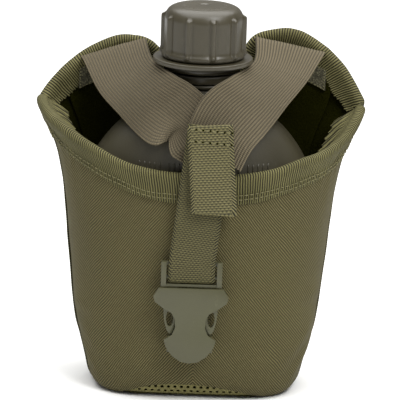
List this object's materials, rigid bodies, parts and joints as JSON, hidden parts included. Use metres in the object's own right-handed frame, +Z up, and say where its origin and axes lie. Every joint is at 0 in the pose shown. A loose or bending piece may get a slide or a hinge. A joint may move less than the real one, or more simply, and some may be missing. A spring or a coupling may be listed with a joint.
{
  "type": "canteen in a belt cover",
  "caption": "Flat kidney-shaped plastic canteen with a tethered screw cap, in a lined fabric belt cover closed by crossed elastic straps, a pull tab and a side-release buckle.",
  "frame": {"origin": "where the bottle's axis meets the floor, on the flat base of the cover", "axes": "+Z up along the bottle's neck, -Y towards the front with the pull tab and buckle, +X to the right seen from the front"},
  "size_m": [0.1698, 0.095, 0.2032],
  "materials": {
    "fabric": "woven nylon duck",
    "lining": "acrylic pile",
    "mesh": "open mesh",
    "binding": "ribbed tape",
    "webbing": "nylon webbing",
    "elastic": "ribbed elastic",
    "patch": "coated cloth",
    "buckle": "satin",
    "bottle": "satin",
    "cap": "satin",
    "seal": "matt",
    "metal": "satin"
  },
  "bodies": {
    "cover": {"front_panel": "fabric", "back_panel": "fabric", "front_lining": "lining", "back_lining": "lining", "mesh_base": "mesh", "front_binding": "binding", "back_binding": "binding", "left_seam_tape": "binding", "right_seam_tape": "binding", "left_ear_patch": "patch", "right_ear_patch": "patch", "left_snap_stud": "metal", "right_snap_stud": "metal", "upper_back_webbing": "webbing", "lower_back_webbing": "webbing", "buckle_housing": "buckle", "buckle_anchor_loop": "webbing"},
    "closure": {"left_elastic": "elastic", "right_elastic": "elastic"},
    "closure_strap": {"drop_strap": "webbing", "buckle_frame": "buckle"},
    "tab": {"pull_tab": "webbing"},
    "left_prong": {"left_prong": "buckle"},
    "right_prong": {"right_prong": "buckle"},
    "left_carrier": {"left_carrying_strap": "webbing", "left_snap_cap": "metal"},
    "right_carrier": {"right_carrying_strap": "webbing", "right_snap_cap": "metal"},
    "bottle": {"bottle_body": "bottle", "tether_neck_ring": "cap", "tether_strap": "cap"},
    "cap_ring": {"tether_cap_ring": "cap"},
    "cap": {"cap": "cap", "cap_gasket": "seal"}
  },
  "joints": [
    {"name": "bottle_out", "type": "slide", "parent": "cover", "child": "bottle", "axis": [0, 0, 1], "range_m": [0, 0.19], "deforming": ["left_elastic", "right_elastic"]},
    {"name": "cap_rise", "type": "slide", "parent": "bottle", "child": "cap_ring", "axis": [0, 0, 1], "range_m": [0, 0.008], "deforming": ["tether_strap"]},
    {"name": "cap_turn", "type": "hinge", "parent": "cap_ring", "child": "cap", "pos_m": [0, 0, 0.185], "axis": [0, 0, 1], "range_deg": [0, 720]},
    {"name": "closure_swing", "type": "hinge", "parent": "cover", "child": "closure", "pos_m": [0, 0.027, 0.173], "axis": [-1, 0, 0], "range_deg": [0, 165]},
    {"name": "strap_release", "type": "slide", "parent": "closure", "child": "closure_strap", "axis": [0, 0, 1], "range_m": [0, 0.026], "deforming": ["left_prong", "right_prong"]},
    {"name": "tab_lift", "type": "hinge", "parent": "closure_strap", "child": "tab", "pos_m": [0.0058, -0.0453, 0.148], "axis": [-1, 0, 0], "range_deg": [0, 85]},
    {"name": "left_squeeze", "type": "hinge", "parent": "closure_strap", "child": "left_prong", "pos_m": [-0.01145, -0.0442, 0.062], "axis": [0, -1, 0], "range_deg": [0, 7], "stiffness_Nm_per_rad": 0.02},
    {"name": "right_squeeze", "type": "hinge", "parent": "closure_strap", "child": "right_prong", "pos_m": [0.00685, -0.0442, 0.062], "axis": [0, 1, 0], "range_deg": [0, 7], "stiffness_Nm_per_rad": 0.02},
    {"name": "left_carrier_open", "type": "hinge", "parent": "cover", "child": "left_carrier", "pos_m": [-0.038, 0.039, 0.147], "axis": [1, 0, 0], "range_deg": [0, 85]},
    {"name": "right_carrier_open", "type": "hinge", "parent": "cover", "child": "right_carrier", "pos_m": [0.038, 0.039, 0.147], "axis": [1, 0, 0], "range_deg": [0, 85]}
  ],
  "couplings": [
    {"joint": "cap_rise", "follows": "cap_turn", "m_per_rad": 0.0006366},
    {"joint": "right_squeeze", "follows": "left_squeeze", "ratio": 1}
  ]
}
